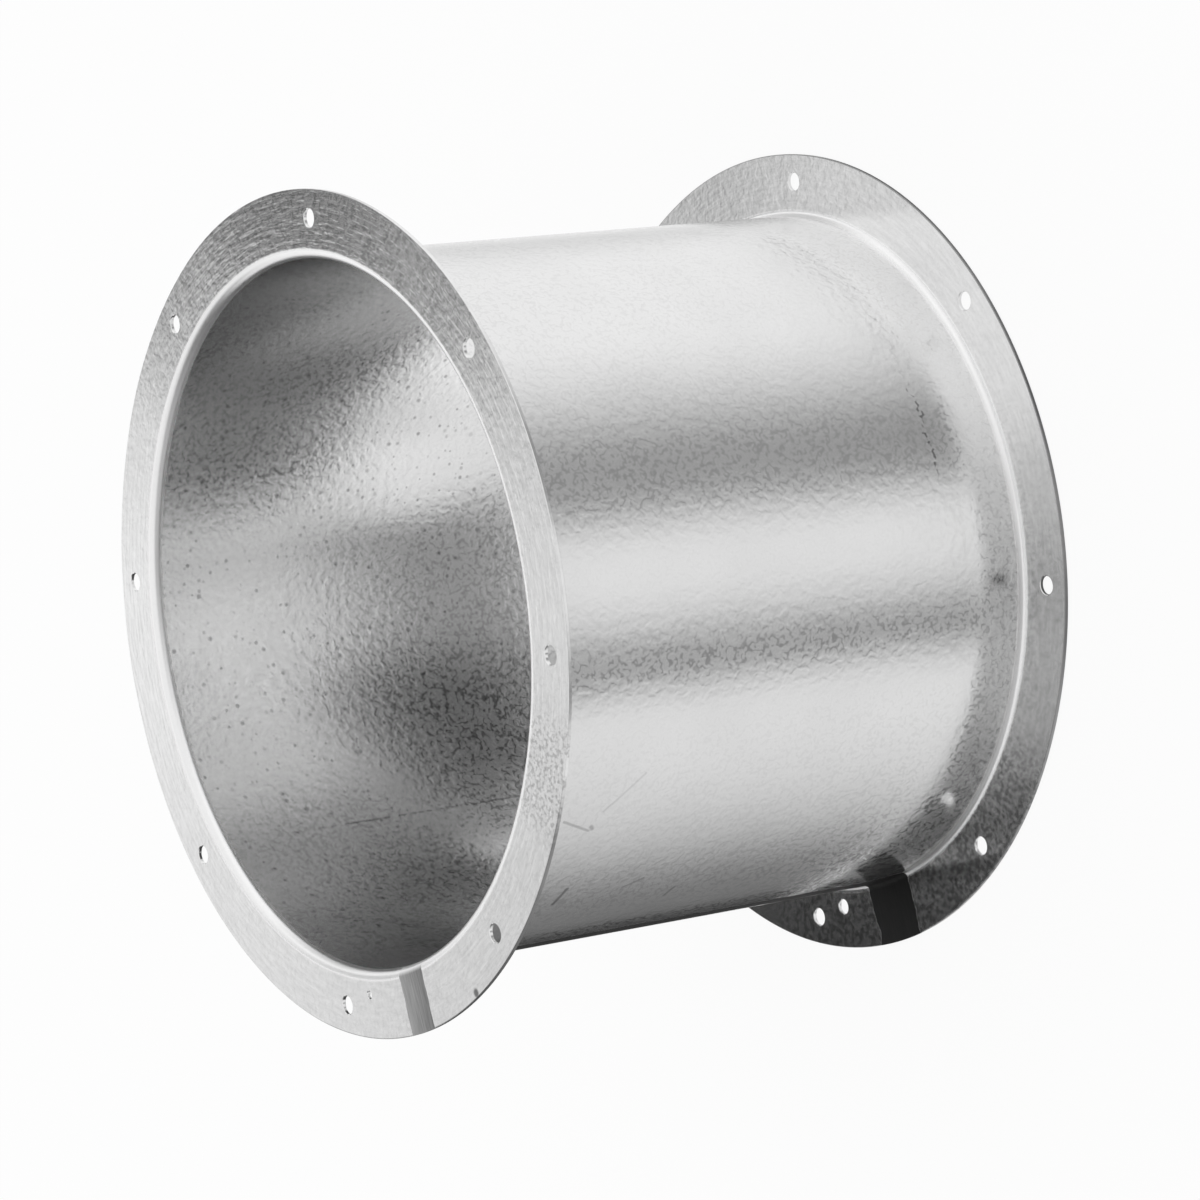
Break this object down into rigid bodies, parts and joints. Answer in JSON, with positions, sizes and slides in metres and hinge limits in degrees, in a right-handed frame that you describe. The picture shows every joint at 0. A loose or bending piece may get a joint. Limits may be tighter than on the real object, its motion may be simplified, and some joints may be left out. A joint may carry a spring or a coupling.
{
  "type": "duct extension pipe",
  "caption": "Short round sheet-steel duct pipe with a flat turned-out flange and bolt holes at each end, for lengthening a ventilation duct.",
  "frame": {"origin": "centre of the lower flange's face, on the pipe's axis", "axes": "+Z along the pipe's axis, up from the lower flange it stands on to the upper one; +Y through a bolt hole"},
  "size_m": [0.424, 0.4238, 0.3],
  "materials": {
    "galvanised_sheet": "hot-dip galvanised sheet, satin and finely mottled, with grey zinc paint over the welded seam"
  },
  "bodies": {
    "root": {"duct_pipe": "galvanised_sheet"}
  },
  "joints": []
}
